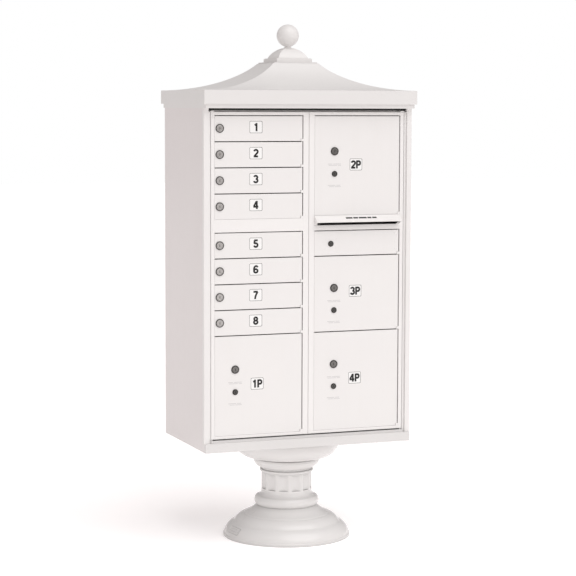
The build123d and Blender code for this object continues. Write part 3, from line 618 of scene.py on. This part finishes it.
def marks(name, origin, across, up, bars, key, body, slot):
    """Printed bars on a flat face; each bar is its ends along two directions in the face, in mm."""
    normal = across.cross(up)
    verts = []
    faces = []
    for left, right, low, high in bars:
        start = len(verts)
        for out in (0.0, 0.07):
            for x, z in ((left, low), (right, low), (right, high), (left, high)):
                verts.append(origin + (across * x + up * z + normal * out) * MM)
        sides = [(0, 3, 2, 1), (4, 5, 6, 7), (0, 1, 5, 4), (1, 2, 6, 5), (2, 3, 7, 6), (3, 0, 4, 7)]
        faces += [tuple(index + start for index in side) for side in sides]
    piece(name, verts, faces, [key], body, slot)


BEAD_HALF = 1.45
BEAD_BACK = 6.0
BEAD_SHOULDER = -0.1
BEAD_STEPS = 8


def groove_bead(name, x, low, high):
    """Vinyl bead pressed into the groove of a jamb: a long strip with a rounded front."""
    section = [(-BEAD_HALF, BEAD_BACK), (-BEAD_HALF, BEAD_SHOULDER)]
    for step in range(BEAD_STEPS + 1):
        angle = math.pi * (1 - step / BEAD_STEPS)
        section.append((1.4 * math.cos(angle), -0.2 - 1.2 * math.sin(angle)))
    section += [(BEAD_HALF, BEAD_SHOULDER), (BEAD_HALF, BEAD_BACK)]
    count = len(section)
    verts = [(x + across * MM, FACE + depth * MM, z) for z in (low, high) for across, depth in section]
    faces = [(i, (i + 1) % count, count + (i + 1) % count, count + i) for i in range(count)]
    faces += [tuple(reversed(range(count))), tuple(range(count, 2 * count))]
    piece(name, verts, faces, ["door"], "cabinet", "white_cabinet")


# ---------------------------------------------------------------- doors
TENANT_RADIUS = 14.8
KEY_RADIUS = 14.2
CARRIER_RADIUS = 10.0
LABEL_RIGHT = Vector((131.6, 0, 4.0)) * MM  # from a tenant lock to its number
PARCEL_LABEL_UP = {1: 26.0, 2: 32.0, 3: 65.5, 4: 26.5}  # from the carrier lock up to the number
PARCEL_LABEL_RIGHT = 81.0
RIGHT = Vector((1, 0, 0))
UP = Vector((0, 0, 1))

# Printed bars stand for the instructions beside the parcel locks and on the hood.
LOCK_BARS = [
    (-25, -8, 33, 35.2), (-5, 24, 33, 35.2), (-22, 10, 28.4, 30.4), (13, 25, 28.4, 30.4),
    (-25, 4, -41, -38.8), (7, 22, -41, -38.8), (-20, -2, -45.6, -43.6), (1, 24, -45.6, -43.6),
]
HOOD_WORDS = [(135, 160), (163, 181), (184, 214), (217, 232), (235, 252)]
HOOD_WORD_LOW = -16.4
HOOD_WORD_HIGH = -9.0


def finish_tenant_door(door):
    door_body = f"tenant_{door}"
    cam_body = f"tenant_cam_{door}"
    dress_door(door_body)
    dress_cam(cam_body, "nickel")
    # Tenant lock ring in the darker plating: painted shade and dark reflection.
    lock_bezel(cam_body, door_body, TENANT_RADIUS, "ring")
    plug_face(cam_body, TENANT_RADIUS, "nickel")
    label_plate(door_body, lock_centre(cam_body) + LABEL_RIGHT, str(door), door_body)


def finish_parcel_door(door, label_up):
    door_body = f"parcel_{door}"
    dress_door(door_body)
    for cam_body, radius, key in (
        (f"parcel_key_{door}", KEY_RADIUS, "painted_shade_key_plug"),
        (f"parcel_carrier_{door}", CARRIER_RADIUS, "carrier"),
    ):
        dress_cam(cam_body, key)
        lock_bezel(cam_body, door_body, radius)
        plug_face(cam_body, radius, key)
    centre = lock_centre(f"parcel_carrier_{door}") + Vector((PARCEL_LABEL_RIGHT, 0, label_up)) * MM
    label_plate(door_body, centre, f"{door}P", door_body)


def finish_collection_door():
    """The small door's lock, with three rivets at its hinge edge and four round the lock."""
    dress_door("collection")
    dress_cam("collection_cam", "carrier")
    lock_bezel("collection_cam", "collection", CARRIER_RADIUS)
    plug_face("collection_cam", CARRIER_RADIUS, "carrier")
    low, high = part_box("collection_door")
    x = high.x - 14.5 * MM
    at_hinge = [Vector((x, FACE, (low.z + high.z) / 2 + step * 27 * MM)) for step in (-1, 0, 1)]
    centre = lock_centre("collection_cam")
    round_lock = [centre + Vector((x, 0, z)) * MM for x in (-19, 19) for z in (-16, 16)]
    rivets("collection_rivets", at_hinge + round_lock, OUT, 2.6, ["door"], "collection", "white_doors")


def print_parcel_marks(door):
    body = f"parcel_{door}"
    origin = lock_centre(f"parcel_carrier_{door}")
    marks(f"{body}_marks", origin, RIGHT, UP, LOCK_BARS, "faint_mark", body, "white_doors")


def print_hood_marks():
    """The bars on the slope of the hood."""
    low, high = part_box("mail_slot_hood")
    slope_top = Vector((0, high.y - 1.95 * MM, high.z))
    slope_foot = Vector((0, low.y, high.z - 19 * MM))
    slope_up = (slope_top - slope_foot).normalized()
    bars = [(left, right, HOOD_WORD_LOW, HOOD_WORD_HIGH) for left, right in HOOD_WORDS]
    marks("hood_marks", slope_top, RIGHT, slope_up, bars, "mark", "right_master", "white_frames")


# ---------------------------------------------------------------- cabinet
GROOVE_IN = 19.5 * MM  # from the outside of a jamb to the middle of its groove
BACK_RIVETS_HIGH = 9
BACK_RIVETS_WIDE = 5
RIVET_IN = 12 * MM
RIVET_END = 30 * MM
BACK_HIGH = 1196.6 * MM


def add_groove_beads():
    """A bead fills most of the groove beside the strip of each jamb."""
    low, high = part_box("right_jamb")
    header_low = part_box("header_rail")[0].z
    for side, name in ((-1, "left_jamb_bead"), (1, "right_jamb_bead")):
        groove_bead(name, side * (high.x - GROOVE_IN), low.z + 0.2 * MM, header_low - 0.3 * MM)


def add_back_rivets():
    """Rivets round the back panel."""
    low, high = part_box("back_panel")
    bottom = low.z + RIVET_END
    top = low.z + BACK_HIGH - RIVET_END
    places = []
    for step in range(BACK_RIVETS_HIGH):
        z = bottom + step * (top - bottom) / (BACK_RIVETS_HIGH - 1)
        places += [Vector((x, high.y, z)) for x in (low.x + RIVET_IN, high.x - RIVET_IN)]
    for step in range(1, BACK_RIVETS_WIDE + 1):
        x = low.x + step / (BACK_RIVETS_WIDE + 1) * (high.x - low.x)
        places += [Vector((x, high.y, z)) for z in (low.z + RIVET_END, high.z - RIVET_END)]
    rivets("back_rivets", places, Vector((0, 1, 0)), 3.4, ["cabinet"], "cabinet", "white_cabinet")


# ---------------------------------------------------------------- stage
FLOOR_HALF = 30.0
FLOOR_GLOW = (1, 0.93, 0.925, 1)
AMBIENT = 0.515
AMBIENT_HUE = (1.0, 0.95, 0.943)
BACKDROP = 1.0
SUN = 1.55
SUN_PLACE = Vector((0.6, -1.8, 3.5))
SUN_WIDTH = math.radians(60)
FRONT_PLACE = Vector((-0.6, -4.6, 2.6))
MIDDLE = Vector((0, 0, 0.8))
# Two small lamps on the pedestal: name, power and place.
LOW_LAMPS = [("low_left", 26, Vector((-2.1, -1.3, 0.22))), ("low_right", 20, Vector((2.0, -1.6, 0.22)))]
LOW_TARGET = Vector((0, 0, 0.22))


def make_floor():
    mesh = bpy.data.meshes.new("floor")
    corners = [(x * FLOOR_HALF, y * FLOOR_HALF, 0) for x, y in ((-1, -1), (1, -1), (1, 1), (-1, 1))]
    mesh.from_pydata(corners, [], [(0, 1, 2, 3)])
    shader = Shader("floor_paint", Roughness=0.85, Emission_Color=FLOOR_GLOW, Emission_Strength=0.3)
    shader.link("Base Color", shader.mix(shader.noise(0.6), (0.985, 0.985, 0.985), (0.99, 0.99, 0.99)))
    mesh.materials.append(shader.material)
    floor = bpy.data.objects.new("floor", mesh)
    bpy.context.scene.collection.objects.link(floor)


def rgba(sockets):
    return [socket for socket in sockets if socket.type == "RGBA"]


def make_world():
    """Even light all round, with a plain white backdrop where the sky is seen directly."""
    world = bpy.data.worlds.new("studio")
    world.use_nodes = True
    tree = world.node_tree
    back = tree.nodes["Background"]
    seen = tree.nodes.new("ShaderNodeLightPath").outputs["Is Camera Ray"]
    hue = tree.nodes.new("ShaderNodeMix")
    hue.data_type = "RGBA"
    unseen_colour, seen_colour = rgba(hue.inputs)
    unseen_colour.default_value = (*AMBIENT_HUE, 1.0)
    seen_colour.default_value = (1.0, 1.0, 1.0, 1.0)
    tree.links.new(seen, hue.inputs["Factor"])
    tree.links.new(rgba(hue.outputs)[0], back.inputs["Color"])
    level = tree.nodes.new("ShaderNodeMapRange")
    level.inputs["To Min"].default_value = AMBIENT
    level.inputs["To Max"].default_value = BACKDROP
    tree.links.new(seen, level.inputs["Value"])
    tree.links.new(level.outputs["Result"], back.inputs["Strength"])
    bpy.context.scene.world = world
    bpy.context.scene.view_settings.view_transform = "Standard"


def add_light(name, data, place, target=MIDDLE):
    light = bpy.data.objects.new(name, data)
    light.location = place
    light.rotation_mode = "QUATERNION"
    light.rotation_quaternion = (target - place).to_track_quat("-Z", "Y")
    bpy.context.scene.collection.objects.link(light)


def make_lights():
    sun = bpy.data.lights.new("key", "SUN")
    sun.energy = SUN
    sun.angle = SUN_WIDTH
    add_light("key", sun, SUN_PLACE)
    front = bpy.data.lights.new("front", "AREA")
    front.size = 1.3
    front.energy = 4
    add_light("front", front, FRONT_PLACE)
    for name, energy, place in LOW_LAMPS:
        low = bpy.data.lights.new(name, "SPOT")
        low.energy = energy
        low.spot_size = math.radians(9)
        low.spot_blend = 0.8
        low.shadow_soft_size = 0.12
        low.use_shadow = False
        add_light(name, low, place, LOW_TARGET)


# ---------------------------------------------------------------- build
make_camera()
dress_nodes()
for number_on_door in range(1, 9):
    finish_tenant_door(number_on_door)
for number_on_door, label_up in PARCEL_LABEL_UP.items():
    finish_parcel_door(number_on_door, label_up)
finish_collection_door()
for number_on_door in PARCEL_LABEL_UP:
    print_parcel_marks(number_on_door)
print_hood_marks()
add_groove_beads()
add_back_rivets()
make_floor()
make_world()
make_lights()
